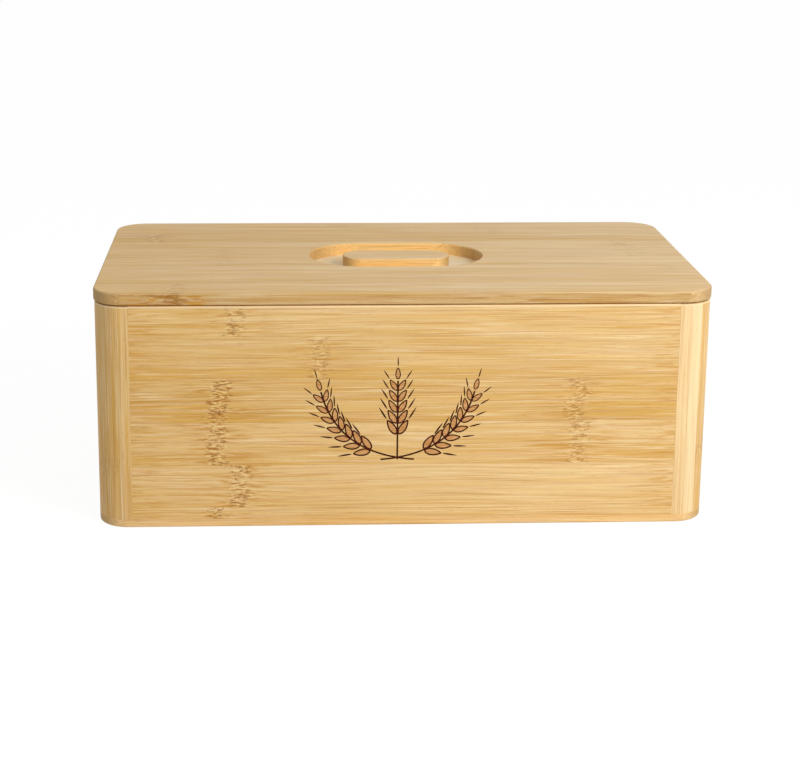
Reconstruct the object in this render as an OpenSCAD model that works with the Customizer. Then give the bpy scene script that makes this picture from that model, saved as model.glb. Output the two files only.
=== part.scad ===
// Bread box of laminated bamboo, with a lift-off lid that has a routed finger recess.
// Millimetres. Origin: centre of the footprint, on the surface that the box stands on.
// +X runs along the long front, -Y is the front, +Z is up.

/* [Box] */
// Length of the box, along the front
box_w = 330; // [240:1:420]
// Depth of the box, front to back
box_d = 180; // [150:1:260]
// Height of the rim above the table
box_h = 123.5; // [80:0.5:180]
// Thickness of the wall boards
wall_t = 9; // [7:0.5:12]
// Outside radius of the upright corners
corner_r = 17; // [15:0.5:24]
// Rounding of the two arrises of the rim
rim_ease = 0.8; // [0.3:0.1:1.5]

/* [Corner posts] */
// Straight part of a post's leg, past the rounded corner
post_leg = 2; // [1:0.5:8]
// Thickness of the tongue on each end of a wall board
tongue_t = 3; // [2:0.25:4]
// Length of that tongue
tongue_l = 4.5; // [3:0.25:6]
// Glue clearance on each face of a tongue
tongue_play = 0.1; // [0.05:0.05:0.3]
// Glue clearance at a tongue's end
tongue_end_play = 0.3; // [0.1:0.1:1]

/* [Base] */
// Thickness of the base board under the walls
base_edge_t = 4.5; // [3:0.25:8]
// Height of the base board's raised field, which locates the walls
base_step_h = 3; // [1.5:0.25:6]
// Clearance between the raised field and the walls
base_step_play = 0.2; // [0.1:0.05:0.5]
// Rounding of the arris that stands on the table
base_ease = 1; // [0.4:0.1:2]

/* [Lid] */
// Thickness of the lid's top board
lid_t = 6.5; // [5:0.25:10]
// How far the lid stands past the walls, on each side
lid_overhang = 0.5; // [0:0.1:3]
// Rounding of the lid's upper arris
lid_ease_top = 1.2; // [0.4:0.1:2]
// Rounding of the lid's lower arris
lid_ease_under = 0.6; // [0.3:0.1:1.5]
// Thickness of the inner board, which drops inside the walls
lid_inner_t = 6; // [4:0.25:10]
// Clearance between the inner board and the walls, on each side
lid_play = 1; // [0.5:0.1:2]
// Rounding of the inner board's lower arris, which leads it in
lid_lead_in = 1.5; // [0.5:0.1:3]

/* [Finger recess] */
// Length of the grip that stands in the recess
grip_l = 61; // [50:1:90]
// Width of the grip
grip_w = 22; // [18:1:30]
// Width of the finger groove round the grip
groove_w = 19; // [16:0.5:26]
// Rounding of the grip's upper arris
grip_ease = 0.8; // [0.3:0.1:1.5]
// Chamfer round the mouth of the recess
mouth_chamfer = 0.6; // [0.3:0.1:1.5]

/* [Hidden] */
$fn = 96;

// Walls: one profile runs round the box, boards on the straights and posts at the corners.
wall_h = box_h - base_edge_t;
inner_r = corner_r - wall_t;
post_w = corner_r + post_leg;
slot_t = tongue_t + 2 * tongue_play;
slot_l = tongue_l + tongue_end_play;
tongue_y = (wall_t - tongue_t) / 2;

// Inside of the walls, which the base's field and the lid's inner board fit into.
inside_w = box_w - 2 * wall_t;
inside_d = box_d - 2 * wall_t;

// Lid
lid_w = box_w + 2 * lid_overhang;
lid_d = box_d + 2 * lid_overhang;
lid_r = corner_r + lid_overhang;
lid_z = box_h;
inner_z = lid_z - lid_inner_t;

// Recess: two half rounds on the grip's own centres
grip_r = grip_w / 2;
grip_straight = grip_l - grip_w;
recess_r = grip_r + groove_w;

// Cuts run this far past the face that they open.
cut = 1;

body_colour = [0.88, 0.73, 0.48];
side_colour = [0.84, 0.69, 0.44];
post_colour = [0.93, 0.81, 0.60];
base_colour = [0.86, 0.71, 0.46];
lid_colour = [0.82, 0.70, 0.53];
inner_colour = [0.86, 0.74, 0.56];
grip_colour = [0.80, 0.68, 0.51];

// ---------------------------------------------------------------- shared profiles

// What rounding an outside arris takes away: a square of side r less a quarter round,
// with its full corner at the origin and the round towards -X and -Y.
module arris_waste(r) {
    difference() {
        translate([-r, -r])
            square(r + cut);
        translate([-r, -r])
            circle(r);
    }
}

// Half section of a board, from its middle line at x = 0 out to x = reach, with eased arrises.
module board_edge(reach, t, ease_top, ease_under) {
    difference() {
        square([reach, t]);
        if (ease_top > 0)
            translate([reach, t])
                arris_waste(ease_top);
        if (ease_under > 0)
            translate([reach, 0])
                mirror([0, 1])
                    arris_waste(ease_under);
    }
}

// Section of a wall: outer face at x = wall_t, inner face at x = 0, rim eased on both sides.
module wall_section() {
    difference() {
        square([wall_t, wall_h]);
        translate([wall_t, wall_h])
            arris_waste(rim_ease);
        translate([0, wall_h])
            mirror([1, 0])
                arris_waste(rim_ease);
    }
}

// Runs a section along Y, centred, with the section's x outwards and its y upwards.
module run(l) {
    rotate([90, 0, 0])
        linear_extrude(l, center = true)
            children();
}

// Board with rounded corners and eased arrises, lying on z = 0.
module rounded_board(w, d, t, r, ease_top, ease_under) {
    straight_w = w - 2 * r;
    straight_d = d - 2 * r;
    translate([-straight_w / 2, -straight_d / 2, 0])
        cube([straight_w, straight_d, t]);
    for (side = [0, 180]) {
        rotate(side)
            translate([straight_w / 2, 0, 0])
                run(straight_d)
                    board_edge(r, t, ease_top, ease_under);
        rotate(side + 90)
            translate([straight_d / 2, 0, 0])
                run(straight_w)
                    board_edge(r, t, ease_top, ease_under);
    }
    for (i = [0 : 3]) {
        sx = i == 0 || i == 3 ? 1 : -1;
        sy = i < 2 ? 1 : -1;
        translate([sx * straight_w / 2, sy * straight_d / 2, 0])
            rotate(i * 90)
                rotate_extrude(angle = 90)
                    board_edge(r, t, ease_top, ease_under);
    }
}

// Solid with two round ends along X: the half section given, revolved round each end's
// centre and run between them.
module round_ended(straight) {
    for (side = [0, 180])
        rotate(side) {
            translate([straight / 2, 0, 0])
                rotate(-90)
                    rotate_extrude(angle = 180)
                        children();
            rotate(90)
                run(straight)
                    children();
        }
}

// ---------------------------------------------------------------- walls

// Wall board of length l between the shoulders, its outer face at +X, with a tongue on
// each end; it stands on z = 0.
module wall_board(l) {
    run(l)
        wall_section();
    for (side = [-1, 1])
        translate([tongue_y, side * (l + tongue_l) / 2, 0])
            translate([0, -tongue_l / 2, 0])
                cube([tongue_t, tongue_l, wall_h]);
}

// Corner post, its outer corner towards +X +Y: the wall section turned through a
// quarter round, two short legs, and a slot down each leg's end for the board's tongue.
module corner_post() {
    difference() {
        union() {
            rotate_extrude(angle = 90)
                translate([inner_r, 0])
                    wall_section();
            translate([inner_r, -post_leg / 2, 0])
                run(post_leg)
                    wall_section();
            translate([-post_leg / 2, inner_r, 0])
                rotate(90)
                    mirror([0, 1, 0])
                        run(post_leg)
                            wall_section();
        }
        translate([inner_r + (wall_t - slot_t) / 2, -post_leg - cut, -cut])
            cube([slot_t, slot_l + cut, wall_h + 2 * cut]);
        translate([-post_leg - cut, inner_r + (wall_t - slot_t) / 2, -cut])
            cube([slot_l + cut, slot_t, wall_h + 2 * cut]);
    }
}

// Places a post at the corner on the given sides of the box.
module post_at(sx, sy) {
    translate([sx * (box_w / 2 - corner_r), sy * (box_d / 2 - corner_r), base_edge_t])
        mirror([sx < 0 ? 1 : 0, 0, 0])
            mirror([0, sy < 0 ? 1 : 0, 0])
                corner_post();
}

// Places a wall board on the side of the box that faces the given way.
module wall_at(facing, out, l) {
    translate([0, 0, base_edge_t])
        rotate(facing)
            translate([out - wall_t, 0, 0])
                wall_board(l);
}

module front_panel() {
    color(body_colour)
        wall_at(-90, box_d / 2, box_w - 2 * post_w);
}

module back_panel() {
    color(body_colour)
        wall_at(90, box_d / 2, box_w - 2 * post_w);
}

module left_panel() {
    color(side_colour)
        wall_at(180, box_w / 2, box_d - 2 * post_w);
}

module right_panel() {
    color(side_colour)
        wall_at(0, box_w / 2, box_d - 2 * post_w);
}

module post_front_left() {
    color(post_colour)
        post_at(-1, -1);
}

module post_front_right() {
    color(post_colour)
        post_at(1, -1);
}

module post_back_left() {
    color(post_colour)
        post_at(-1, 1);
}

module post_back_right() {
    color(post_colour)
        post_at(1, 1);
}

// ---------------------------------------------------------------- base

// Board under the walls, rebated all round so that its raised field sits between them.
module base_panel() {
    color(base_colour) {
        rounded_board(box_w, box_d, base_edge_t, corner_r, 0, base_ease);
        translate([0, 0, base_edge_t])
            rounded_board(inside_w - 2 * base_step_play, inside_d - 2 * base_step_play,
                base_step_h, inner_r - base_step_play, 0, 0);
    }
}

// ---------------------------------------------------------------- lid

// Top board of the lid, which rests on the rim and has the recess cut right through.
module lid_board() {
    color(lid_colour)
        translate([0, 0, lid_z])
            difference() {
                rounded_board(lid_w, lid_d, lid_t, lid_r, lid_ease_top, lid_ease_under);
                round_ended(grip_straight)
                    polygon([
                        [0, -cut],
                        [recess_r, -cut],
                        [recess_r, lid_t - mouth_chamfer],
                        [recess_r + mouth_chamfer + cut, lid_t + cut],
                        [0, lid_t + cut]
                    ]);
            }
}

// Inner board, glued under the top board: it is the floor of the recess, and it keeps
// the lid from sliding by standing inside the walls.
module lid_inner_panel() {
    color(inner_colour)
        translate([0, 0, inner_z])
            rounded_board(inside_w - 2 * lid_play, inside_d - 2 * lid_play, lid_inner_t,
                inner_r - lid_play, 0, lid_lead_in);
}

// Grip, left standing in the middle of the recess and flush with the top board.
module lid_grip() {
    color(grip_colour)
        translate([0, 0, lid_z])
            round_ended(grip_straight)
                board_edge(grip_r, lid_t, grip_ease, 0);
}

base_panel();
front_panel();
back_panel();
left_panel();
right_panel();
post_front_left();
post_front_right();
post_back_left();
post_back_right();
lid_board();
lid_inner_panel();
lid_grip();
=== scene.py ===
"""Bread box of laminated bamboo with a lift-off lid, dressed around its CAD frame.

Metres throughout, in the frame of the CAD model: +X along the long front, -Y the front, +Z up.
The sections follow the box as it is put together.
"""

import math
import random

import bmesh
import bpy
from mathutils import Matrix, Vector


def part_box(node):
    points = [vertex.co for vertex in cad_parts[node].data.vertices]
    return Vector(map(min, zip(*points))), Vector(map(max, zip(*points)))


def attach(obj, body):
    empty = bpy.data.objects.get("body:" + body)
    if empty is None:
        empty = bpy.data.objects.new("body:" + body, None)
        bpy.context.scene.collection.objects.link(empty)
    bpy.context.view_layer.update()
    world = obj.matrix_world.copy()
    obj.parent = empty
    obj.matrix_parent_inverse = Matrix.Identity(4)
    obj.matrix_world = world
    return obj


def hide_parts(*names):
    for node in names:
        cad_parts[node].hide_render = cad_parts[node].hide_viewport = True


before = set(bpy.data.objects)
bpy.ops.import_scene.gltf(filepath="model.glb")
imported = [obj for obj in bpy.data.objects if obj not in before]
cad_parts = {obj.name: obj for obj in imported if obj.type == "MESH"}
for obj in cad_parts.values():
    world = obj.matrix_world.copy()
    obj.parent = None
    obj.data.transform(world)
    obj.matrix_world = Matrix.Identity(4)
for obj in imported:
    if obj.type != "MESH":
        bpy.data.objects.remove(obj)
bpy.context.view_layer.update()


# ------------------------------------------------------------------ base board
# Board under the walls, pressed from strips of split bamboo laid side by side.
# Its top is rebated all round, so that a raised field sits between the walls; the arris
# that stands on the table is rounded over.

MM = 0.001
# A strip without a knuckle has it this many metres away.
FAR = 9.0


def srgb(red, green, blue):
    """Linear colour of a tone given as 0 to 255."""
    tones = [tone / 255 for tone in (red, green, blue)]
    return [t / 12.92 if t <= 0.04045 else ((t + 0.055) / 1.055) ** 2.4 for t in tones] + [1.0]


def add_node(tree, kind, inputs=None, **settings):
    """Adds a node; inputs maps a socket's name or number to a value or to another socket."""
    node = tree.nodes.new(kind)
    for name, value in settings.items():
        setattr(node, name, value)
    for key, value in (inputs or {}).items():
        if isinstance(value, bpy.types.NodeSocket):
            tree.links.new(value, node.inputs[key])
        else:
            node.inputs[key].default_value = value
    return node


def calc(tree, operation, *values, clamp=False):
    """One sum of numbers."""
    node = add_node(tree, "ShaderNodeMath", dict(enumerate(values)), operation=operation)
    node.use_clamp = clamp
    return node.outputs[0]


def fade(tree, value, start, end, low=0.0, high=1.0):
    """Goes smoothly from low, where value is start, to high, where it is end."""
    sockets = {"Value": value, "From Min": start, "From Max": end, "To Min": low, "To Max": high}
    node = add_node(tree, "ShaderNodeMapRange", sockets, interpolation_type="SMOOTHSTEP")
    return node.outputs[0]


def sway(tree, noise, reach):
    """Turns noise from 0 to 1 into a swing to and fro about 0, reach wide in all."""
    return calc(tree, "MULTIPLY_ADD", noise, reach, -reach / 2)


def blend(tree, share, first, second, kind="MIX"):
    """Mixes two colours."""
    return add_node(tree, "ShaderNodeMix", {0: share, 6: first, 7: second}, data_type="RGBA",
                    blend_type=kind).outputs[2]


def streaks(tree, place, lengths, detail=1.0, offset=0.0):
    """Noise drawn out along the fibres; lengths are its grain on each axis, in place's unit."""
    stretched = add_node(tree, "ShaderNodeVectorMath",
                         {0: place, 1: [1 / length for length in lengths], 2: [offset] * 3},
                         operation="MULTIPLY_ADD").outputs[0]
    noise = {"Vector": stretched, "Scale": 1.0, "Detail": detail, "Roughness": 0.55}
    return add_node(tree, "ShaderNodeTexNoise", noise).outputs[0]


def new_group(name, inputs, outputs):
    """Empty shader group with the sockets given as (name, type, default)."""
    tree = bpy.data.node_groups.new(name, "ShaderNodeTree")
    for socket_name, kind, default in inputs:
        socket = tree.interface.new_socket(socket_name, in_out="INPUT", socket_type=kind)
        if default is not None:
            socket.default_value = default
    for socket_name, kind in outputs:
        tree.interface.new_socket(socket_name, in_out="OUTPUT", socket_type=kind)
    given = tree.nodes.new("NodeGroupInput").outputs
    out = tree.nodes.new("NodeGroupOutput").inputs
    return tree, given, out


def make_bamboo_group():
    """Split bamboo as a solid pattern: x runs along the fibres, y across the strips, z through.
    Its lengths are in millimetres."""
    tree, given, out = new_group(
        "bamboo strips",
        [("Place", "NodeSocketVector", None), ("Strip", "NodeSocketVector", None),
         ("Knuckles", "NodeSocketVector", None), ("End Grain", "NodeSocketFloat", 0.0),
         ("Pale", "NodeSocketColor", srgb(238, 202, 140)),
         ("Golden", "NodeSocketColor", srgb(222, 174, 88)),
         ("Tan", "NodeSocketColor", srgb(229, 186, 130)),
         ("Fibre", "NodeSocketColor", srgb(196, 139, 54)),
         ("Cream", "NodeSocketColor", srgb(250, 224, 176)),
         ("Fibre Contrast", "NodeSocketFloat", 1.0),
         ("Drift", "NodeSocketFloat", 0.0), ("Half Length", "NodeSocketFloat", FAR),
         ("Arris Highlight", "NodeSocketFloat", 0.0)],
        [("Color", "NodeSocketColor"), ("Roughness", "NodeSocketFloat"),
         ("Height", "NodeSocketFloat")])

    place = add_node(tree, "ShaderNodeVectorMath", {0: given["Place"], "Scale": 1 / MM},
                     operation="SCALE").outputs[0]
    x, y, z = add_node(tree, "ShaderNodeSeparateXYZ", {0: place}).outputs
    middle, half, tone = add_node(tree, "ShaderNodeSeparateXYZ", {0: given["Strip"]}).outputs
    knuckle_a, knuckle_b, strength = add_node(
        tree, "ShaderNodeSeparateXYZ", {0: given["Knuckles"]}).outputs
    middle = calc(tree, "DIVIDE", middle, MM)
    half = calc(tree, "DIVIDE", half, MM)
    across = calc(tree, "SUBTRACT", y, middle)
    to_seam = calc(tree, "SUBTRACT", half, calc(tree, "ABSOLUTE", across))
    rise = calc(tree, "DIVIDE", across, half)

    # Each strip comes from its own culm, so its grain starts somewhere else.
    farthest_along = 900.0
    farthest_through = 70.0
    lot = add_node(tree, "ShaderNodeTexWhiteNoise", {"Vector": given["Strip"]}).outputs[0]
    x_own = calc(tree, "MULTIPLY_ADD", lot, farthest_along, x)
    z_own = calc(tree, "MULTIPLY_ADD", lot, farthest_through, z)

    # Knuckle: where the culm's wall crossed, a ragged band that the fibres weave through.
    own = add_node(tree, "ShaderNodeCombineXYZ", {0: x_own, 1: y, 2: z_own}).outputs[0]
    ragged = calc(tree, "ADD", sway(tree, streaks(tree, own, (400, 8, 9), 0), 9.0),
                  sway(tree, streaks(tree, own, (7, 1.1, 3), 1), 10.0))
    # The second knuckle that a strip may have lies nearer the culm's tip and is fainter.
    band_edge, band_core = 6.8, 3.2
    halo_edge, halo_core = 34.0, 2.0
    marks = []
    spreads = []
    for knuckle, share in ((knuckle_a, 1.0), (knuckle_b, 0.7)):
        away = calc(tree, "SUBTRACT", x, calc(tree, "DIVIDE", knuckle, MM))
        to_mark = calc(tree, "ABSOLUTE", calc(tree, "ADD", ragged, away))
        marks.append(fade(tree, to_mark, band_edge, band_core, high=share))
        away = calc(tree, "ABSOLUTE", away)
        spreads.append(fade(tree, away, halo_edge, halo_core, high=share))
    band = calc(tree, "MULTIPLY", calc(tree, "MINIMUM", strength, 1.0),
                calc(tree, "MAXIMUM", *marks))
    spread = calc(tree, "MAXIMUM", *spreads)
    halo = calc(tree, "MULTIPLY", strength, spread)

    # The fibres wander a little all along the strip, and swerve beside a knuckle.
    swerve = sway(tree, streaks(tree, own, (11, 4, 8), 1), 2.6)
    wander = sway(tree, streaks(tree, own, (90, 14, 14), 0), 2.4)
    y_bent = calc(tree, "MULTIPLY_ADD", swerve, calc(tree, "MULTIPLY", halo, halo),
                  calc(tree, "ADD", y, wander))
    grain = add_node(tree, "ShaderNodeCombineXYZ", {0: x_own, 1: y_bent, 2: z_own}).outputs[0]

    # Every kind of streak follows the same fibres, each at its own place in the noise.
    broad = streaks(tree, grain, (150, 13, 13), detail=2, offset=3.1)
    bands = streaks(tree, grain, (90, 2.6, 2.6), detail=2, offset=17.7)
    fibres = streaks(tree, grain, (56, 1.0, 1.0), detail=2, offset=29.3)
    lines = streaks(tree, grain, (62, 0.7, 0.7), detail=1, offset=41.9)
    pales = streaks(tree, grain, (44, 0.8, 0.8), detail=1, offset=53.2)
    hues = streaks(tree, grain, (55, 2.0, 2.0), detail=1, offset=59.4)
    hairs = streaks(tree, grain, (26, 0.22, 0.3), detail=1, offset=67.5)
    vessels = streaks(tree, grain, (6, 0.42, 0.42), detail=1, offset=71.1)

    # A strip is denser and more golden towards the lower edge, where the culm's skin was.
    by_broad, by_bands, by_rise, by_tone = 1.5, 1.7, -0.20, -0.38
    golden = calc(tree, "MULTIPLY_ADD", broad, by_broad, (1 - by_broad) / 2)
    golden = calc(tree, "ADD", golden, sway(tree, bands, by_bands))
    golden = calc(tree, "MULTIPLY_ADD", rise, by_rise, golden)
    # Painted shade: a board turns darker and more golden towards -x, away from the key lamp, by
    # its drift per metre.
    golden = calc(tree, "MULTIPLY_ADD", calc(tree, "MULTIPLY", x, MM), given["Drift"], golden)
    golden = calc(tree, "MULTIPLY_ADD", tone, by_tone, golden, clamp=True)
    colour = blend(tree, golden, given["Pale"], given["Golden"])
    colour = blend(tree, fade(tree, hues, 0.46, 0.66, high=0.55), colour, given["Tan"])
    colour = blend(tree, fade(tree, tone, 0.5, 2.0, high=0.8), colour, given["Cream"])

    # Dark and pale fibres; they show less on a very pale strip and on a cut end.
    contrast = calc(tree, "MULTIPLY", given["Fibre Contrast"],
                    fade(tree, tone, 0.2, 1.8, low=1.0, high=0.3))
    contrast = calc(tree, "MULTIPLY", contrast,
                    fade(tree, given["End Grain"], 0.1, 0.7, low=1.0, high=0.25))
    line_share = calc(tree, "MULTIPLY", fade(tree, lines, 0.53, 0.68, high=0.6), contrast)
    colour = blend(tree, line_share, colour, given["Fibre"])
    pale_share = calc(tree, "MULTIPLY", fade(tree, pales, 0.55, 0.70, high=0.5), contrast)
    colour = blend(tree, pale_share, colour, given["Cream"])
    vessel_share = calc(tree, "MULTIPLY", fade(tree, vessels, 0.60, 0.74, high=0.35), contrast)
    colour = blend(tree, vessel_share, colour, given["Fibre"])
    level = calc(tree, "ADD", sway(tree, fibres, 0.30), sway(tree, hairs, 0.14))
    level = calc(tree, "MULTIPLY_ADD", level, given["Fibre Contrast"],
                 calc(tree, "MULTIPLY_ADD", tone, 0.02, 1.0))

    # Round the knuckle, and where the board was cut to length, lie golden-brown smudges; in
    # the knuckle's band, short brown and cream dashes and pits.
    smudge_brown = srgb(202, 142, 42)
    dash_brown = srgb(160, 97, 26)
    dash_cream = srgb(248, 216, 148)
    pit_brown = srgb(104, 58, 16)
    stained_end = 30.0
    to_end = calc(tree, "SUBTRACT", calc(tree, "DIVIDE", given["Half Length"], MM),
                  calc(tree, "ABSOLUTE", x))
    stained = calc(tree, "MAXIMUM", calc(tree, "MULTIPLY", halo, 0.85),
                   fade(tree, to_end, stained_end, 0.0, high=0.6))
    smudges = fade(tree, streaks(tree, grain, (16, 1.3, 1.3), detail=2, offset=83.0), 0.48, 0.66)
    colour = blend(tree, calc(tree, "MULTIPLY", smudges, stained), colour, smudge_brown)
    dashes = streaks(tree, own, (3.2, 0.75, 0.75), detail=1, offset=97.0)
    dark_dash = calc(tree, "MULTIPLY", fade(tree, dashes, 0.50, 0.38), band)
    soaked = calc(tree, "SUBTRACT", strength, 1.0, clamp=True)
    unsoaked = calc(tree, "MULTIPLY_ADD", soaked, -0.7, band, clamp=True)
    pale_dash = calc(tree, "MULTIPLY", fade(tree, dashes, 0.54, 0.66), unsoaked)
    colour = blend(tree, calc(tree, "MULTIPLY", dark_dash, 0.78), colour, dash_brown)
    colour = blend(tree, calc(tree, "MULTIPLY", pale_dash, 0.80), colour, dash_cream)

    # A knuckle stronger than 1 is soaked through with amber, and its cream dashes are weaker.
    soaked_amber = srgb(166, 110, 18)
    blotches = fade(tree, streaks(tree, own, (9, 2, 2), detail=1, offset=7.0), 0.40, 0.60)
    deep = calc(tree, "MULTIPLY", soaked, fade(tree, spread, 0.54, 0.99))
    colour = blend(tree, calc(tree, "MULTIPLY", deep, blotches), colour, soaked_amber)
    pores = fade(tree, streaks(tree, grain, (1.5, 0.8, 0.8), detail=0, offset=11.0), 0.66, 0.76)
    pits = calc(tree, "MULTIPLY", band, pores)
    colour = blend(tree, calc(tree, "MULTIPLY", pits, 0.5), colour, pit_brown)

    # Glue line between the strips, and the closed pores of a cut end.
    glue_brown = srgb(172, 122, 58)
    end_grey = srgb(182, 148, 96)
    seam = fade(tree, to_seam, 0.25, 0.05)
    colour = blend(tree, calc(tree, "MULTIPLY", seam, 0.28), colour, glue_brown)
    cut_end = fade(tree, given["End Grain"], 0.25, 0.90)
    # Painted highlight: along a rounded arris the colour is mixed toward cream, by the share
    # given.
    colour = blend(tree, given["Arris Highlight"], colour, given["Cream"])
    colour = blend(tree, calc(tree, "MULTIPLY", cut_end, 0.6), colour, end_grey)
    shade = calc(tree, "MULTIPLY_ADD", cut_end, -0.06, level)
    grey = add_node(tree, "ShaderNodeCombineXYZ", {0: shade, 1: shade, 2: shade}).outputs[0]
    tree.links.new(blend(tree, 1.0, colour, grey, "MULTIPLY"), out["Color"])

    # The lacquer is satin, duller on a fibre and on a cut end; the grain can be felt through it.
    rough = calc(tree, "MULTIPLY_ADD", fibres, 0.16, 0.48)
    rough = calc(tree, "MULTIPLY_ADD", cut_end, 0.12, rough)
    tree.links.new(rough, out["Roughness"])
    height = calc(tree, "MULTIPLY_ADD", fibres, 0.5, calc(tree, "MULTIPLY", hairs, 0.35))
    height = calc(tree, "MULTIPLY_ADD", line_share, -0.4, height)
    height = calc(tree, "MULTIPLY_ADD", seam, -0.5, height)
    height = calc(tree, "MULTIPLY_ADD", pits, -0.9, height)
    height = calc(tree, "MULTIPLY_ADD", calc(tree, "SUBTRACT", pale_dash, dark_dash), 0.35, height)
    tree.links.new(height, out["Height"])
    return tree


bamboo_group = make_bamboo_group()

# Which way a board's strips lie: along the fibres, across the strips, through the board.
LYING = ((1, 0, 0), (0, 1, 0), (0, 0, 1))


def make_bamboo(name, grain, arris=None, **tones):
    """Bamboo, sanded and under a thin satin lacquer; grain is one of the three-axis turns, arris
    the two heights between which a highlight is painted along an arris, and how much."""
    material = bpy.data.materials.new(name)
    material.use_nodes = True
    tree = material.node_tree
    principled = tree.nodes["Principled BSDF"]
    place = add_node(tree, "ShaderNodeTexCoord").outputs
    turned = add_node(tree, "ShaderNodeMapping",
                      {"Vector": place["Object"], "Rotation": Matrix(grain).to_euler()})
    facing = add_node(tree, "ShaderNodeVectorMath", {0: place["Normal"], 1: grain[0]},
                      operation="DOT_PRODUCT").outputs["Value"]
    strip = add_node(tree, "ShaderNodeAttribute", attribute_name="strip").outputs["Vector"]
    knuckles = add_node(tree, "ShaderNodeAttribute", attribute_name="knuckles").outputs["Vector"]
    group = add_node(tree, "ShaderNodeGroup", node_tree=bamboo_group)
    for key, socket in (("Place", turned.outputs[0]), ("Strip", strip), ("Knuckles", knuckles),
                        ("End Grain", calc(tree, "ABSOLUTE", facing))):
        tree.links.new(socket, group.inputs[key])
    if arris:
        # Painted highlight: the band of the arris between foot and crest is painted paler, where
        # the arris would catch the light.
        foot, crest, share = arris
        above_foot = 0.4 * MM
        below_crest = 0.3 * MM
        z = add_node(tree, "ShaderNodeSeparateXYZ", {0: place["Object"]}).outputs["Z"]
        painted_highlight = calc(tree, "MULTIPLY", fade(tree, z, foot, foot + above_foot),
                      fade(tree, z, crest, crest - below_crest))
        tree.links.new(calc(tree, "MULTIPLY", painted_highlight, share), group.inputs["Arris Highlight"])
    for key, value in tones.items():
        group.inputs[key.replace("_", " ").title()].default_value = value
    grain_depth = 0.06 * MM
    bump = add_node(tree, "ShaderNodeBump",
                    {"Strength": 0.6, "Distance": grain_depth, "Height": group.outputs["Height"]})
    tree.links.new(group.outputs["Color"], principled.inputs["Base Color"])
    tree.links.new(group.outputs["Roughness"], principled.inputs["Roughness"])
    tree.links.new(bump.outputs[0], principled.inputs["Normal"])
    return material


def eased_levels(low, high, under, top, steps=6):
    """Heights and insets of a board's side, with its lower and upper arrises rounded."""
    turns = [math.pi / 2 * step / steps for step in range(steps + 1)]
    below = [(low + under * (1 - math.cos(a)), under * (1 - math.sin(a))) for a in turns]
    above = [(high - top * (1 - math.cos(a)), top * (1 - math.sin(a))) for a in reversed(turns)]
    return below + above


def rounded_outline(half_x, half_y, radius, inset, steps=14):
    """Plan of a board with rounded corners, drawn inset from its outline."""
    points = []
    for corner, (side_x, side_y) in enumerate(((1, 1), (-1, 1), (-1, -1), (1, -1))):
        centre = Vector((side_x * (half_x - radius), side_y * (half_y - radius)))
        for step in range(steps + 1):
            angle = math.pi / 2 * (corner + step / steps)
            points.append(centre + (radius - inset) * Vector((math.cos(angle), math.sin(angle))))
    return points


def stack(outline, levels):
    """Closed mesh through outline(inset), a plan run anticlockwise, at each (height, inset)."""
    rings = [[(*point, height) for point in outline(inset)] for height, inset in levels]
    count = len(rings[0])
    faces = [list(reversed(range(count)))]
    for lower in range(0, count * (len(rings) - 1), count):
        for i in range(count):
            beside = (i + 1) % count
            faces.append((lower + i, lower + beside, lower + count + beside, lower + count + i))
    faces.append([count * (len(rings) - 1) + i for i in range(count)])
    mesh = bpy.data.meshes.new("board")
    mesh.from_pydata([point for ring in rings for point in ring], [], faces)
    return mesh


def draw_strips(edges, tones, knuckles):
    """Rows (low, high, tone, knuckle, knuckle, strength), one for each strip of a board. The
    outermost strips run past the board's own edges, because no glue line lies there."""
    past = 1 * MM
    lows = [edges[0] - past] + edges[1:-1]
    highs = edges[1:-1] + [edges[-1] + past]
    return [(low, high, tone, *marks)
            for low, high, tone, marks in zip(lows, highs, tones, knuckles)]


def strips_by_lot(edges, half_length, seed):
    """The same, drawn by lot: the knuckles of this bamboo are 200 to 260 mm apart."""
    lot = random.Random(seed)
    most_tone = 0.6
    tones = [lot.uniform(-most_tone, most_tone) for _ in edges[1:]]
    middle_part = 0.28
    knuckles = []
    for _ in edges[1:]:
        here = lot.uniform(-0.5, 0.5) * middle_part
        there = here + lot.uniform(0.20, 0.26)
        strength = lot.choice((0.45, 0.7, 0.95))
        knuckles.append((here if abs(here) < half_length else FAR,
                         there if there < half_length else FAR, strength))
    return draw_strips(edges, tones, knuckles)


def put_in(name, data):
    """Object with its mesh, lamp or camera, put into the scene."""
    thing = bpy.data.objects.new(name, data)
    bpy.context.collection.objects.link(thing)
    return thing


def settle(piece):
    """Keeps what the piece's modifiers make of it as its plain mesh."""
    seen = piece.evaluated_get(bpy.context.evaluated_depsgraph_get())
    piece.data = bpy.data.meshes.new_from_object(seen)
    piece.modifiers.clear()


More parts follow.
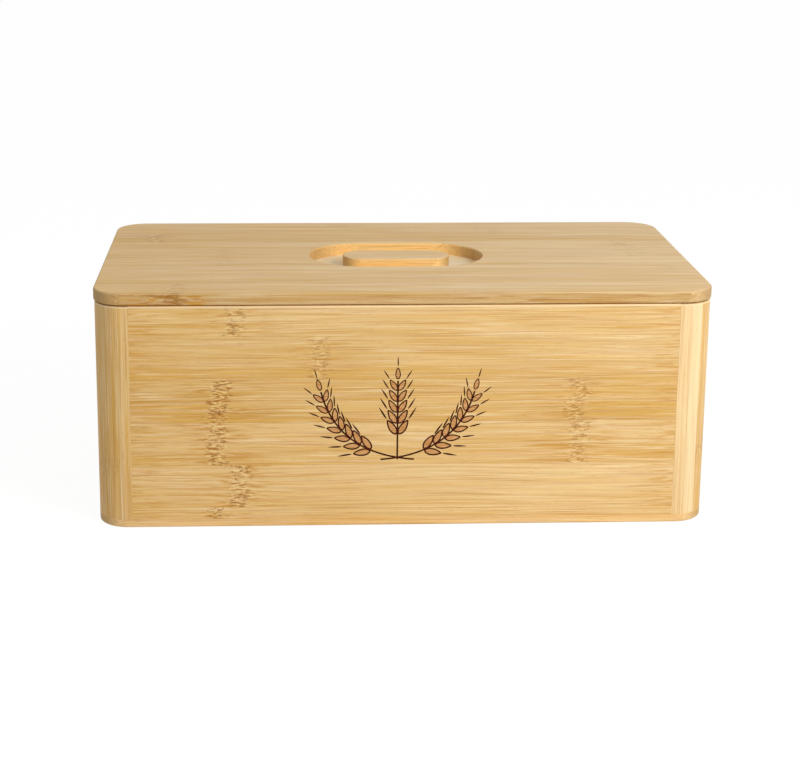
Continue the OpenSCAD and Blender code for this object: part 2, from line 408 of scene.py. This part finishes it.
def make_piece(name, mesh, material, axis, rows, cutters=()):
    """Board as one object: cut along its seams, then routed, its strips marked on the faces."""
    shape = bmesh.new()
    shape.from_mesh(mesh)
    direction = Vector([1.0 if i == axis else 0.0 for i in range(3)])
    for row in rows[1:]:
        bmesh.ops.bisect_plane(shape, geom=shape.verts[:] + shape.edges[:] + shape.faces[:],
                               plane_co=direction * row[0], plane_no=direction, dist=1e-7)
    shape.to_mesh(mesh)
    shape.free()
    mesh.materials.append(material)
    piece = put_in(name, mesh)
    for cutter in cutters:
        routed = piece.modifiers.new("routed", "BOOLEAN")
        routed.object = cutter
        routed.operation = "DIFFERENCE"
        routed.solver = "EXACT"
        routed.material_mode = "TRANSFER"
        routed.use_self = True
    settle(piece)
    for cutter in cutters:
        bpy.data.objects.remove(cutter)

    mesh = piece.data
    for mark in ("strip", "knuckles"):
        mesh.attributes.new(mark, "FLOAT_VECTOR", "FACE")
    strip = mesh.attributes["strip"].data
    knuckles = mesh.attributes["knuckles"].data
    for face in mesh.polygons:
        row = next((r for r in rows if face.center[axis] <= r[1]), rows[-1])
        strip[face.index].vector = ((row[0] + row[1]) / 2, (row[1] - row[0]) / 2, row[2])
        knuckles[face.index].vector = row[3:6]
    crease = math.radians(30)
    mesh.shade_smooth()
    mesh.set_sharp_from_angle(angle=crease)
    weighted = piece.modifiers.new("flat faces stay flat", "WEIGHTED_NORMAL")
    weighted.keep_sharp = True
    weighted.weight = 100
    settle(piece)
    piece.data.name = name
    return piece


def fit(piece, body, node):
    """The piece rides on its body and stands for its CAD node, which it hides."""
    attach(piece, body)
    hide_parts(node)


def even_edges(low, high, first, width):
    """Edges of a board's strips: the board's own two edges and the seams between them."""
    narrowest = 0.5 * MM
    seams = []
    seam = first
    while seam < high - narrowest:
        seams.append(seam)
        seam += width
    return [low] + seams + [high]


low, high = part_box("base_panel")
corner_radius = 17 * MM
wall_thickness = 9 * MM
base_edge = 4.5 * MM
base_field_play = 0.2 * MM
base_ease = 1 * MM
base_first_seam = -68 * MM
base_strip = 23.8 * MM
base_front_tone = 0.7
# Pieces that meet stand this far back along the joint, which shows it as a fine line.
hairline = 0.12 * MM

base_levels = eased_levels(low.z, base_edge, base_ease, hairline)
field_inset = wall_thickness + base_field_play
base_levels += [(base_edge, field_inset), (high.z, field_inset)]
base_rows = strips_by_lot(even_edges(low.y, high.y, base_first_seam, base_strip), high.x, 5)
base_rows[0] = base_rows[0][:2] + (base_front_tone, FAR, FAR, 0.0)
base = make_piece(
    "base_board",
    stack(lambda inset: rounded_outline(high.x, high.y, corner_radius, inset), base_levels),
    make_bamboo("base bamboo", LYING, pale=srgb(246, 208, 148), golden=srgb(234, 184, 102)),
    1, base_rows)
fit(base, "box", "base_panel")


# ------------------------------------------------------------------ wall boards
# Four boards of level strips, edge-glued from the same stock, with a tongue on each end
# that is glued into the corner posts. The rim is rounded over inside and outside.

FRONT_GRAIN = ((1, 0, 0), (0, 0, 1), (0, -1, 0))
SIDE_GRAIN = ((0, 1, 0), (0, 0, 1), (1, 0, 0))
front_half = 146 * MM
side_half = 71 * MM
tongue = 3.1 * MM
tongue_length = 4.7 * MM
tongue_in_cad = 4.5 * MM
rim_ease = 0.8 * MM
rim_gap = 0.7 * MM
rim_bearing = 2.6 * MM
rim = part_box("front_panel")[1].z - rim_gap
# Band along the rim's rounded outer arris, painted paler: a painted highlight.
rim_highlight = (rim - 1.2 * MM, rim + 0.1 * MM, 0.75)
# The front and back boards carry painted shade through their drift, darker and more golden towards
# -x.
wall_bamboo = make_bamboo("wall bamboo, level", FRONT_GRAIN, rim_highlight, drift=-0.8,
                          half_length=front_half)
side_bamboo = make_bamboo("wall bamboo, front to back", SIDE_GRAIN, rim_highlight,
                          half_length=side_half)


def wall_outline(half, inset):
    """Plan of a wall board, its outer face at y = 0 and its inner face towards +y."""
    near = inset
    far = wall_thickness - inset
    shoulder_near = near + hairline / 2
    cheek = (wall_thickness - tongue) / 2
    tip = half + tongue_length
    side = [(half - hairline, near), (half, shoulder_near), (half, cheek), (tip, cheek),
            (tip, cheek + tongue), (half, cheek + tongue), (half, far)]
    return side + [(-x, y) for x, y in reversed(side)]


def rim_levels(low, high):
    """Heights and insets of a wall or post: its rim is rounded over, and relieved on both
    sides of the strip that the lid bears on, which leaves a narrow shadow gap."""
    levels = eased_levels(low, high - rim_gap, hairline, rim_ease)
    slope, rise = 0.1 * MM, 0.08 * MM
    return levels + [(high - rim_gap + rise, rim_bearing - slope), (high, rim_bearing)]


def make_wall(name, facing, material, rows, cutters=()):
    """Wall board turned to its side of the box: facing 0 is the front, 90 the right side."""
    low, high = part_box(name)
    turn = Matrix.Rotation(math.radians(facing), 4, "Z")
    size = high - low
    half = max(size.x, size.y) / 2 - tongue_in_cad
    mesh = stack(lambda inset: wall_outline(half, inset), rim_levels(low.z, high.z))
    outward = max(abs(low.x), abs(high.x)) if facing % 180 else max(abs(low.y), abs(high.y))
    mesh.transform(turn @ Matrix.Translation((0, -outward, 0)))
    piece = make_piece(name + "_strips", mesh, material, 2, rows, cutters)
    fit(piece, "box", name)


# Front board: its seams, tones and knuckles are set strip by strip, from the bottom up.
low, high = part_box("front_panel")
front_edges = [low.z] + [z * MM for z in (11.1, 34.9, 58.7, 82.5, 106.2)] + [high.z]
front_tones = [0.45, 0.7, 0.05, -0.7, -0.25, 0.5]
front_knuckles = [
    (-0.0993, FAR, 0.9),
    (-0.0884, FAR, 1.0),
    (-0.1003, 0.0944, 1.0),
    (-0.0987, 0.0926, 1.0),
    (-0.0456, FAR, 0.55),
    (-0.0917, FAR, 0.75),
]
front_rows = draw_strips(front_edges, front_tones, front_knuckles)

# Ornament on the front board: three ears of wheat, cut and burnt in by a laser.


def make_ear_tree():
    """Wheat ear drawn flat: a curved stem, a grain and its awn on each side at every joint."""
    tree = bpy.data.node_groups.new("wheat ear", "GeometryNodeTree")
    tree.interface.new_socket("Geometry", in_out="OUTPUT", socket_type="NodeSocketGeometry")
    for socket_name, kind in (
            ("Stem Start", "Vector"), ("Stem Bend", "Vector"), ("Stem End", "Vector"),
            ("Bare Stem", "Float"), ("Grain Pairs", "Int"), ("Grain Length", "Float"),
            ("Grain Width", "Float"), ("Spread", "Float"), ("Awn Length", "Float"),
            ("Line Width", "Float"), ("Cut Depth", "Float"), ("Burn", "Material"),
            ("Scorch", "Material")):
        tree.interface.new_socket(socket_name, in_out="INPUT", socket_type="NodeSocket" + kind)
    given = tree.nodes.new("NodeGroupInput").outputs
    out = tree.nodes.new("NodeGroupOutput").inputs
    thickness = calc(tree, "MULTIPLY", given["Cut Depth"], 2.0)
    gap = calc(tree, "MULTIPLY", given["Line Width"], 1.4)
    # A grain's shape, its shares of the cut's depth and the line's width, and how much smaller
    # the grains get towards the tip.
    slimming, pointedness = -0.28, 0.45
    scorch_share, husk_share = 0.4, 0.85
    dwindling = -0.3

    def almond(disc, start, length, width):
        """Pulls a round of radius 1 out to a pointed oval along +x, from start on."""
        x, y, z = add_node(tree, "ShaderNodeSeparateXYZ",
                           {0: tree.nodes.new("GeometryNodeInputPosition").outputs[0]}).outputs
        along = calc(tree, "MULTIPLY_ADD", calc(tree, "ADD", x, 1.0),
                     calc(tree, "DIVIDE", length, 2.0), start)
        belly = calc(tree, "MULTIPLY_ADD", x, slimming, 1.0)
        pointed = calc(tree, "POWER", calc(tree, "ABSOLUTE", y), pointedness)
        wide = calc(tree, "MULTIPLY", calc(tree, "MULTIPLY", y, pointed),
                    calc(tree, "MULTIPLY", belly, calc(tree, "DIVIDE", width, 2.0)))
        place = add_node(tree, "ShaderNodeCombineXYZ", {0: along, 1: wide, 2: z}).outputs[0]
        return add_node(tree, "GeometryNodeSetPosition",
                        {"Geometry": disc, "Position": place}).outputs[0]

    disc = add_node(tree, "GeometryNodeMeshCylinder",
                    {"Vertices": 20, "Radius": 1.0, "Depth": thickness}).outputs[0]
    shallow = add_node(tree, "GeometryNodeMeshCylinder",
                       {"Vertices": 20, "Radius": 1.0,
                        "Depth": calc(tree, "MULTIPLY", thickness, scorch_share)}).outputs[0]
    circle = add_node(tree, "GeometryNodeCurvePrimitiveCircle",
                      {"Resolution": 24, "Radius": 1.0}).outputs[0]
    stroke = add_node(tree, "GeometryNodeCurvePrimitiveQuadrilateral",
                      {"Width": calc(tree, "MULTIPLY", given["Line Width"], husk_share),
                       "Height": thickness}).outputs[0]
    outline = add_node(tree, "GeometryNodeSetCurveNormal",
                       {"Curve": almond(circle, gap, given["Grain Length"], given["Grain Width"])},
                       mode="Z_UP").outputs[0]
    husk = add_node(tree, "GeometryNodeCurveToMesh",
                    {"Curve": outline, "Profile Curve": stroke}).outputs[0]
    inside = add_node(tree, "GeometryNodeStoreNamedAttribute",
                      {"Geometry": almond(shallow, gap, given["Grain Length"],
                                          given["Grain Width"]),
                       "Name": "scorched", "Value": 1.0},
                      data_type="FLOAT", domain="FACE").outputs[0]
    awn_start = calc(tree, "ADD", given["Grain Length"], calc(tree, "MULTIPLY", gap, 1.7))
    awn = almond(disc, awn_start, given["Awn Length"], given["Line Width"])
    bearded = add_node(tree, "GeometryNodeJoinGeometry")
    for part in (awn, husk, inside):
        tree.links.new(part, bearded.inputs[0])

    stem = add_node(tree, "GeometryNodeCurveQuadraticBezier",
                    {"Resolution": 40, "Start": given["Stem Start"], "Middle": given["Stem Bend"],
                     "End": given["Stem End"]}).outputs[0]
    level = add_node(tree, "GeometryNodeSetCurveNormal", {"Curve": stem}, mode="Z_UP").outputs[0]
    bar = add_node(tree, "GeometryNodeCurvePrimitiveQuadrilateral",
                   {"Width": given["Line Width"], "Height": thickness}).outputs[0]
    line = add_node(tree, "GeometryNodeCurveToMesh",
                    {"Curve": level, "Profile Curve": bar, "Fill Caps": True}).outputs[0]
    head = add_node(tree, "GeometryNodeTrimCurve", {0: stem, 2: given["Bare Stem"], 3: 1.0})
    joints = add_node(tree, "GeometryNodeCurveToPoints",
                      {"Curve": head.outputs[0], "Count": given["Grain Pairs"]},
                      mode="COUNT").outputs
    along = add_node(tree, "FunctionNodeAlignRotationToVector", {"Vector": joints["Tangent"]},
                     axis="X", pivot_axis="Z").outputs[0]
    index = tree.nodes.new("GeometryNodeInputIndex").outputs[0]
    last = calc(tree, "SUBTRACT", given["Grain Pairs"], 1.0)
    size = calc(tree, "MULTIPLY_ADD", calc(tree, "DIVIDE", index, last), dwindling, 1.0)
    together = tree.nodes.new("GeometryNodeJoinGeometry")
    tree.links.new(line, together.inputs[0])
    # A grain to the left and right of every joint but the last, and one straight on at its tip.
    for turn, kind in ((1.0, "LESS_THAN"), (-1.0, "LESS_THAN"), (0.0, "GREATER_THAN")):
        angle = calc(tree, "MULTIPLY", given["Spread"], turn)
        by = add_node(tree, "FunctionNodeAxisAngleToRotation",
                      {"Axis": (0, 0, 1), "Angle": angle}).outputs[0]
        turned = add_node(tree, "FunctionNodeRotateRotation",
                          {"Rotation": along, "Rotate By": by}, rotation_space="LOCAL").outputs[0]
        chosen = calc(tree, kind, index, calc(tree, "SUBTRACT", last, 0.5))
        row = add_node(tree, "GeometryNodeInstanceOnPoints",
                       {"Points": joints["Points"], "Selection": chosen,
                        "Instance": bearded.outputs[0], "Rotation": turned, "Scale": size})
        tree.links.new(row.outputs[0], together.inputs[0])
    real = add_node(tree, "GeometryNodeRealizeInstances", {0: together.outputs[0]}).outputs[0]
    charred = add_node(tree, "GeometryNodeSetMaterial",
                       {"Geometry": real, "Material": given["Burn"]}).outputs[0]
    scorched = add_node(tree, "GeometryNodeInputNamedAttribute", {"Name": "scorched"},
                        data_type="FLOAT").outputs[0]
    finished = add_node(tree, "GeometryNodeSetMaterial",
                        {"Geometry": charred, "Selection": scorched,
                         "Material": given["Scorch"]}).outputs[0]
    tree.links.new(finished, out[0])
    return tree


def grow_ear(tree, sizes):
    """Mesh of one ear; sizes gives the tree's inputs by name."""
    ear = put_in("ear", bpy.data.meshes.new("ear"))
    growth = ear.modifiers.new("ear", "NODES")
    growth.node_group = tree
    for socket in tree.interface.items_tree:
        if socket.in_out == "INPUT":
            growth[socket.identifier] = sizes[socket.name]
    settle(ear)
    mesh = ear.data
    bpy.data.objects.remove(ear)
    mesh.attributes.remove(mesh.attributes["scorched"])
    return mesh


def make_burn(name, dark, light):
    """Bamboo that a laser has charred or scorched, unevenly along its fibres."""
    material = bpy.data.materials.new(name)
    material.use_nodes = True
    tree = material.node_tree
    place = add_node(tree, "ShaderNodeTexCoord").outputs["Object"]
    char = streaks(tree, place, (5 * MM, 1 * MM, 0.5 * MM), 2)
    colour = blend(tree, fade(tree, char, 0.35, 0.65), dark, light)
    principled = tree.nodes["Principled BSDF"]
    tree.links.new(colour, principled.inputs["Base Color"])
    principled.inputs["Roughness"].default_value = 0.8
    principled.inputs["Specular IOR Level"].default_value = 0.15
    return material


burnt = make_burn("laser-burnt bamboo", srgb(52, 12, 2), srgb(80, 30, 8))
scorched = make_burn("laser-scorched bamboo", srgb(190, 130, 72), srgb(222, 170, 112))
ear_tree = make_ear_tree()
ear_sizes = {"Grain Length": 8.8 * MM, "Grain Width": 3.4 * MM, "Spread": math.radians(32),
             "Awn Length": 8 * MM, "Line Width": 0.95 * MM, "Cut Depth": 0.25 * MM, "Burn": burnt,
             "Scorch": scorched}
engraving_x = -4 * MM
engraving_z = 66.5 * MM
engraving = bmesh.new()
# Each ear: its stem's start, bend and end in millimetres, the bare share of it, its grains.
for start, bend, end, bare, pairs in (
        ((-9, -29, 0), (32, -26, 0), (41, 9, 0), 0.34, 8),
        ((9, -29, 0), (-32, -26, 0), (-41, 9, 0), 0.34, 8),
        ((0, -29, 0), (0, -5, 0), (0, 15, 0), 0.30, 6)):
    ear_mesh = grow_ear(ear_tree, {
        "Stem Start": Vector(start) * MM, "Stem Bend": Vector(bend) * MM,
        "Stem End": Vector(end) * MM, "Bare Stem": bare, "Grain Pairs": pairs, **ear_sizes})
    engraving.from_mesh(ear_mesh)
burn_mesh = bpy.data.meshes.new("engraving")
engraving.to_mesh(burn_mesh)
engraving.free()
for material in ear_mesh.materials:
    burn_mesh.materials.append(material)
upright = Matrix.Rotation(math.pi / 2, 4, "X")
burn_mesh.transform(Matrix.Translation((engraving_x, low.y, engraving_z)) @ upright)
make_wall("front_panel", 0, wall_bamboo, front_rows, [put_in("engraving cutter", burn_mesh)])

wall_first_seam = 11.1 * MM
wall_strip = 23.75 * MM
wall_edges = even_edges(low.z, high.z, wall_first_seam, wall_strip)
for name, facing, material, seed in (("right_panel", 90, side_bamboo, 21),
                                     ("back_panel", 180, wall_bamboo, 22),
                                     ("left_panel", 270, side_bamboo, 23)):
    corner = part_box(name)[1]
    half_length = corner.x if facing == 180 else corner.y
    make_wall(name, facing, material, strips_by_lot(wall_edges, half_length, seed))


# ------------------------------------------------------------------ corner posts
# Upright posts glued up from three lamellas, turned to a round outside corner and hollowed
# inside, with a slot down each leg that takes the wall board's tongue.

POST_GRAIN = ((0, 0, 1), (1, 0, 0), (0, 1, 0))
inner_radius = corner_radius - wall_thickness
leg = 2 * MM
slot_width = 3.2 * MM
slot_depth = 4.8 * MM
post_bamboo = make_bamboo("post bamboo", POST_GRAIN, rim_highlight)


def post_outline(inset, steps=14):
    """Plan of the post at the +x +y corner, about the centre of its round."""
    cheek = inner_radius + (wall_thickness - slot_width) / 2
    bottom = slot_depth - leg
    outer = corner_radius - inset
    inner = inner_radius + inset
    turns = [math.pi / 2 * step / steps for step in range(steps + 1)]
    points = [(outer - hairline, -leg), (outer, hairline - leg)]
    points += [(outer * math.cos(a), outer * math.sin(a)) for a in turns]
    points += [(hairline - leg, outer), (-leg, outer - hairline)]
    slot = [(-leg, cheek + slot_width), (bottom, cheek + slot_width), (bottom, cheek),
            (-leg, cheek)]
    points += slot + [(-leg, inner)]
    points += [(inner * math.cos(a), inner * math.sin(a)) for a in reversed(turns)]
    points += [(inner, -leg)] + [(x, y) for y, x in reversed(slot)]
    return points


SMOOTH = (FAR, FAR, 0.0)
# The front posts' lamella tones are painted light: the front-right post pale, palest in its middle
# lamella and darker on its outer one; the front-left post darker, darkest outermost, as painted
# shade.
for name, side_x, side_y, tones, knuckles in (
        ("post_front_left", -1, -1, (-0.9, -0.45, -0.35),
         ((0.031, FAR, 0.3), (0.036, FAR, 0.2), SMOOTH)),
        ("post_front_right", 1, -1, (1.1, 1.5, -0.3), (SMOOTH, SMOOTH, (0.041, FAR, 0.5))),
        ("post_back_left", -1, 1, (0.1, -0.3, 0.3), (SMOOTH, (0.088, FAR, 0.6), SMOOTH)),
        ("post_back_right", 1, 1, (0.2, 0.5, -0.1), ((0.060, FAR, 0.5), SMOOTH, SMOOTH))):
    low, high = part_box(name)
    centre = Vector((side_x, side_y, 0)) * -corner_radius
    centre += Vector((high.x if side_x > 0 else low.x, high.y if side_y > 0 else low.y, 0))

    def corner_outline(inset):
        plan = [(centre.x + side_x * x, centre.y + side_y * y) for x, y in post_outline(inset)]
        return plan if side_x == side_y else plan[::-1]

    lamella = (high.x - low.x) / 3
    edges = [low.x, low.x + lamella, high.x - lamella, high.x]
    post = make_piece(name + "_lamellas", stack(corner_outline, rim_levels(low.z, high.z)),
                      post_bamboo, 0, draw_strips(edges, tones, knuckles))
    fit(post, "box", name)


# ------------------------------------------------------------------ lid, inner board
# Board glued under the lid's top board: it drops inside the walls and is the floor of the
# finger recess. Sanded, and eased along its lower arris so that it finds its way in.

low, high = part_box("lid_inner_panel")
inner_board_radius = 7 * MM
lead_in = 1.5 * MM
inner_first_seam = -58 * MM
inner_strip = 22 * MM
inner_bamboo = make_bamboo("inner lid bamboo", LYING, fibre_contrast=0.65,
                           pale=srgb(253, 238, 206), golden=srgb(249, 224, 172),
                           tan=srgb(250, 229, 190), fibre=srgb(228, 188, 132),
                           cream=srgb(255, 246, 222))
inner_lid = make_piece(
    "lid_inner_board",
    stack(lambda inset: rounded_outline(high.x, high.y, inner_board_radius, inset),
          eased_levels(low.z, high.z, lead_in, 0)),
    inner_bamboo, 1,
    strips_by_lot(even_edges(low.y, high.y, inner_first_seam, inner_strip), high.x, 223))
fit(inner_lid, "lid", "lid_inner_panel")


# ------------------------------------------------------------------ lid, top board
# Board of strips that run along the box, with an oval recess routed through it for the fingers and
# all arrises rounded over. Its sawn edge is darker than its face. Its face is painted whiter than
# the wood, a painted reflection of the bright room, and the wall of the recess is more golden and
# painted paler, as painted light against the shade in the recess.

lid_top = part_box("lid_board")[1].z
# Band along the lid's rounded top arris, painted paler: a painted highlight.
lid_arris_highlight = (lid_top - 1.0 * MM, lid_top - 0.15 * MM, 0.4)
# Its pale and tan tones are whiter than the wood: a painted reflection of the bright room in the
# satin lacquer.
lid_bamboo_with_sheen = make_bamboo("lid bamboo", LYING, lid_arris_highlight, fibre_contrast=0.75, drift=-1.6,
                         pale=srgb(243, 210, 156), golden=srgb(226, 180, 98),
                         tan=srgb(233, 193, 145))
# The sawn edge carries the same painted shade towards -x through its drift.
sawn_bamboo = make_bamboo("lid edge bamboo", LYING, lid_arris_highlight, fibre_contrast=1.1, drift=-1.5,
                          pale=srgb(218, 186, 132), golden=srgb(202, 158, 82),
                          tan=srgb(214, 170, 122), fibre=srgb(176, 120, 52),
                          cream=srgb(232, 204, 158))
# Walls of the recess: more golden, and painted paler than the board as painted light against the
# shade in the recess.
routed_bamboo_painted_light = make_bamboo("routed bamboo, painted lighter", LYING, pale=srgb(254, 211, 136),
                            golden=srgb(244, 182, 88), tan=srgb(240, 192, 124))
recess_half_straight = 19.5 * MM
recess_radius = 30 * MM
mouth_chamfer = 0.6 * MM
lid_radius = 17.5 * MM
lid_ease_top = 1.2 * MM
lid_ease_under = 0.6 * MM
past_face = 1 * MM


def oval_outline(half_straight, radius, inset, steps=28):
    """Plan with two half rounds on the X axis."""
    points = []
    for side in (1, -1):
        for step in range(steps + 1):
            angle = math.pi * (step / steps - 0.5 if side > 0 else step / steps + 0.5)
            points.append((side * half_straight + (radius - inset) * math.cos(angle),
                           (radius - inset) * math.sin(angle)))
    return points


low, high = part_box("lid_board")
recess_mesh = stack(
    lambda inset: oval_outline(recess_half_straight, recess_radius, inset),
    [(low.z - past_face, 0), (high.z - mouth_chamfer, 0), (high.z, -mouth_chamfer),
     (high.z + past_face, -mouth_chamfer)])
recess_mesh.materials.append(routed_bamboo_painted_light)
recess = put_in("recess cutter", recess_mesh)
lid_edges = [low.y] + [y * MM for y in (-69, -48.2, -27.4, -6.6, 14.2, 35, 55.8, 76.6)] + [high.y]
lid_tones = [0.2, -0.1, 0.35, 0.2, 0.1, 0.3, -0.6, -0.1, 0.1]
lid_knuckles = [
    (-0.121, FAR, 0.35),
    (0.020, FAR, 0.15),
    (0.148, FAR, 0.15),
    (-0.097, FAR, 0.2),
    (-0.099, 0.139, 0.3),
    (0.134, FAR, 0.35),
    (-0.141, FAR, 0.8),
    (0.060, FAR, 0.2),
    (-0.030, FAR, 0.2),
]
lid = make_piece(
    "lid_top_board",
    stack(lambda inset: rounded_outline(high.x, high.y, lid_radius, inset),
          eased_levels(low.z, high.z, lid_ease_under, lid_ease_top)),
    lid_bamboo_with_sheen, 1, draw_strips(lid_edges, lid_tones, lid_knuckles), [recess])
lid.data.materials.append(sawn_bamboo)
lid_face, sawn_edge = 0, len(lid.data.materials) - 1
steep = 0.8
front_edge_knuckle = (-0.124, FAR, 1.85)
lid_marks = lid.data.attributes["knuckles"].data
for face in lid.data.polygons:
    if face.material_index == lid_face and abs(face.normal.z) < steep:
        face.material_index = sawn_edge
        if face.center.y < low.y + corner_radius:
            lid_marks[face.index].vector = front_edge_knuckle
fit(lid, "lid", "lid_board")


# ------------------------------------------------------------------ lid, grip
# The block left standing in the recess, of the same two strips as the board round it. It is
# glued to the inner board, flush with the lid, and eased along its upper arris.

low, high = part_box("lid_grip")
grip_radius = high.y
grip_ease = 0.8 * MM
grip_seam = -6.6 * MM
upright_side = 0.5
# Its strips are toned pale and its upright sides take the routed bamboo: painted light against the
# shade in the recess.
grip = make_piece(
    "lid_grip_block",
    stack(lambda inset: oval_outline(high.x - grip_radius, grip_radius, inset),
          eased_levels(low.z, high.z, 0, grip_ease)),
    lid_bamboo_with_sheen, 1, draw_strips([low.y, grip_seam, high.y], (0.7, 0.3), (SMOOTH, SMOOTH)))
grip.data.materials.append(routed_bamboo_painted_light)
for face in grip.data.polygons:
    face.material_index = 1 if abs(face.normal.z) < upright_side else 0
fit(grip, "lid", "lid_grip")


# ------------------------------------------------------------------ studio
# Pale seamless floor, a soft key lamp at the front right and a plain bright room. Floor and
# room look white where they are seen, and light the box at a plain level.

white = (1, 1, 1, 1)


def seen_directly(tree):
    """1 where the camera, a reflection or glass looks at the surface."""
    path = add_node(tree, "ShaderNodeLightPath").outputs
    share = calc(tree, "MAXIMUM", path["Is Camera Ray"], path["Is Glossy Ray"])
    return calc(tree, "MAXIMUM", share, path["Is Transmission Ray"])


floor_mesh = bpy.data.meshes.new("floor")
reach = 8.0
floor_corners = [(x * reach, y * reach, 0) for x, y in ((-1, -1), (1, -1), (1, 1), (-1, 1))]
floor_mesh.from_pydata(floor_corners, [], [(0, 1, 2, 3)])
floor = put_in("floor", floor_mesh)
floor_paper = bpy.data.materials.new("white paper")
floor_paper.use_nodes = True
tree = floor_paper.node_tree
tree.nodes.clear()
paper = add_node(tree, "ShaderNodeBsdfDiffuse", {"Color": (0.80, 0.80, 0.80, 1)})
shadowed = add_node(tree, "ShaderNodeBsdfDiffuse", {"Color": (0.12, 0.12, 0.12, 1)})
glow = add_node(tree, "ShaderNodeEmission", {"Color": white, "Strength": 0.93})
seen_paper = add_node(tree, "ShaderNodeAddShader", {0: shadowed.outputs[0], 1: glow.outputs[0]})
both = add_node(tree, "ShaderNodeMixShader",
                {0: seen_directly(tree), 1: paper.outputs[0], 2: seen_paper.outputs[0]})
add_node(tree, "ShaderNodeOutputMaterial", {"Surface": both.outputs[0]})
floor_mesh.materials.append(floor_paper)

room_light = 0.48
world = bpy.data.worlds.new("studio")
bpy.context.scene.world = world
world.use_nodes = True
tree = world.node_tree
tree.nodes.clear()
lit = add_node(tree, "ShaderNodeBackground", {"Color": white, "Strength": room_light})
seen = add_node(tree, "ShaderNodeBackground", {"Color": white, "Strength": 1.0})
both = add_node(tree, "ShaderNodeMixShader",
                {0: seen_directly(tree), 1: lit.outputs[0], 2: seen.outputs[0]})
add_node(tree, "ShaderNodeOutputWorld", {"Surface": both.outputs[0]})

lamp_place = Vector((0.62, -0.80, 0.62))
lamp_aim = Vector((0.0, -0.09, 0.07))
key_light = bpy.data.lights.new("key lamp", "AREA")
key_light.shape = "DISK"
key_light.size = 0.5
key_light.energy = 6.9
key_lamp = put_in("key lamp", key_light)
key_lamp.location = lamp_place
key_lamp.rotation_euler = (lamp_aim - lamp_place).to_track_quat("-Z", "Y").to_euler()

# The camera's pan, tilt and roll, in degrees, turn it from looking level along +Y.
pan, tilt, roll = -2.72, -13.50, -0.38
camera_data = bpy.data.cameras.new("camera")
camera_data.sensor_width = 36
camera_data.lens = 80.64
camera_data.shift_x = 0.045
camera_data.shift_y = -0.1313
camera = put_in("camera", camera_data)
camera.location = (-0.06578, -1.00163, 0.35631)
aim = (Matrix.Rotation(math.radians(pan), 3, "Z") @ Matrix.Rotation(math.radians(tilt), 3, "X")
       @ Matrix.Rotation(math.radians(roll), 3, "Y"))
right, forward, up = aim.col
camera.rotation_euler = Matrix((right, up, -forward)).transposed().to_euler()
bpy.context.scene.camera = camera
bpy.context.scene.view_settings.view_transform = "Standard"
